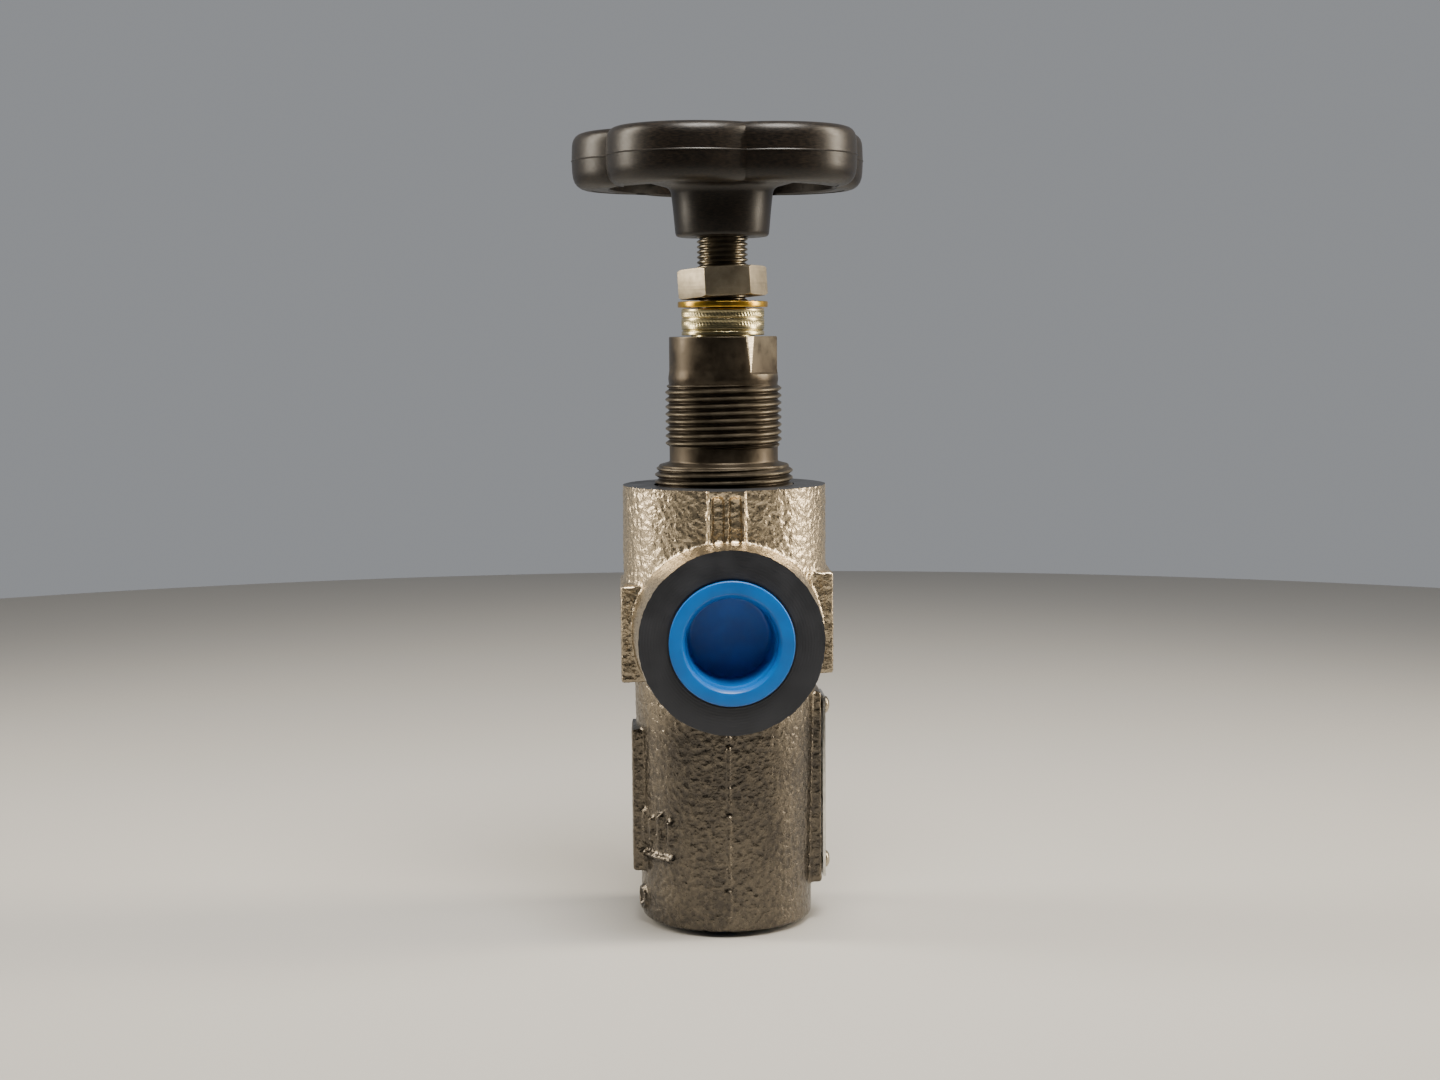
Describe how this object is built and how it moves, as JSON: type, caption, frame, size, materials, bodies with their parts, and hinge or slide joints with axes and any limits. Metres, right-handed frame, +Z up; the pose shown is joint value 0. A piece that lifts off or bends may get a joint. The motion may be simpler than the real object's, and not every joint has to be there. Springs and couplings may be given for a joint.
{
  "type": "needle valve",
  "caption": "Angle-pattern needle valve with a cast body, screwed bonnet, threaded stem, lock nut, lobed handwheel and plastic port plugs.",
  "frame": {"origin": "on the stem's axis, in the plane that the valve stands on", "axes": "+Z up the stem towards the handwheel, -Y out of the front port, +X towards the nameplate"},
  "size_m": [0.073, 0.0756, 0.198],
  "materials": {
    "plated_cast_iron": "sparkling plated sand-cast surface",
    "phosphated_steel": "dark phosphated and oiled",
    "bright_steel": "turned, satin",
    "brass": "turned, pale",
    "yellow_zinc": "yellow-passivated zinc plate on steel",
    "black_plastic": "moulded, semi-gloss",
    "blue_plastic": "moulded, soft gloss",
    "black_rubber": "moulded, matte",
    "white_plastic": "turned, waxy",
    "stamped_aluminium": "thin bright sheet, blank"
  },
  "bodies": {
    "valve": {"valve_body": "plated_cast_iron", "seat_ring": "bright_steel", "seat_o_ring": "black_rubber", "bonnet": "phosphated_steel", "bonnet_o_ring": "black_rubber", "stem_bush": "brass", "nameplate": "stamped_aluminium", "lower_plate_screw": "bright_steel", "upper_plate_screw": "bright_steel"},
    "needle_slide": {"needle": "bright_steel", "needle_o_ring": "black_rubber", "needle_backup_ring": "white_plastic", "swivel_ring": "bright_steel"},
    "spindle": {"stem": "bright_steel", "handwheel": "black_plastic", "handwheel_insert": "brass", "wheel_washer": "bright_steel", "wheel_nut": "bright_steel"},
    "washer": {"seal_washer": "yellow_zinc"},
    "jam_nut": {"lock_nut": "bright_steel"},
    "front_plug": {"front_port_plug": "blue_plastic"},
    "bottom_plug": {"bottom_port_plug": "blue_plastic"}
  },
  "joints": [
    {"name": "needle_lift", "type": "slide", "parent": "valve", "child": "needle_slide", "axis": [0, 0, 1], "range_m": [-0.00509, 0.00382]},
    {"name": "handwheel_turn", "type": "hinge", "parent": "needle_slide", "child": "spindle", "pos_m": [0, 0, 0.191], "axis": [0, 0, 1], "range_deg": [-1440, 1080]},
    {"name": "washer_lift", "type": "slide", "parent": "valve", "child": "washer", "axis": [0, 0, 1], "range_m": [0, 0.00128]},
    {"name": "lock_nut_turn", "type": "hinge", "parent": "washer", "child": "jam_nut", "pos_m": [0, 0, 0.161], "axis": [0, 0, 1], "range_deg": [0, 360]},
    {"name": "front_plug_pull", "type": "slide", "parent": "valve", "child": "front_plug", "axis": [0, -1, 0], "range_m": [0, 0.03]},
    {"name": "bottom_plug_pull", "type": "slide", "parent": "valve", "child": "bottom_plug", "axis": [0, 0, -1], "range_m": [0, 0.03]}
  ],
  "couplings": [
    {"joint": "needle_lift", "follows": "handwheel_turn", "m_per_rad": 0.00020213},
    {"joint": "washer_lift", "follows": "lock_nut_turn", "m_per_rad": 0.00020213}
  ]
}
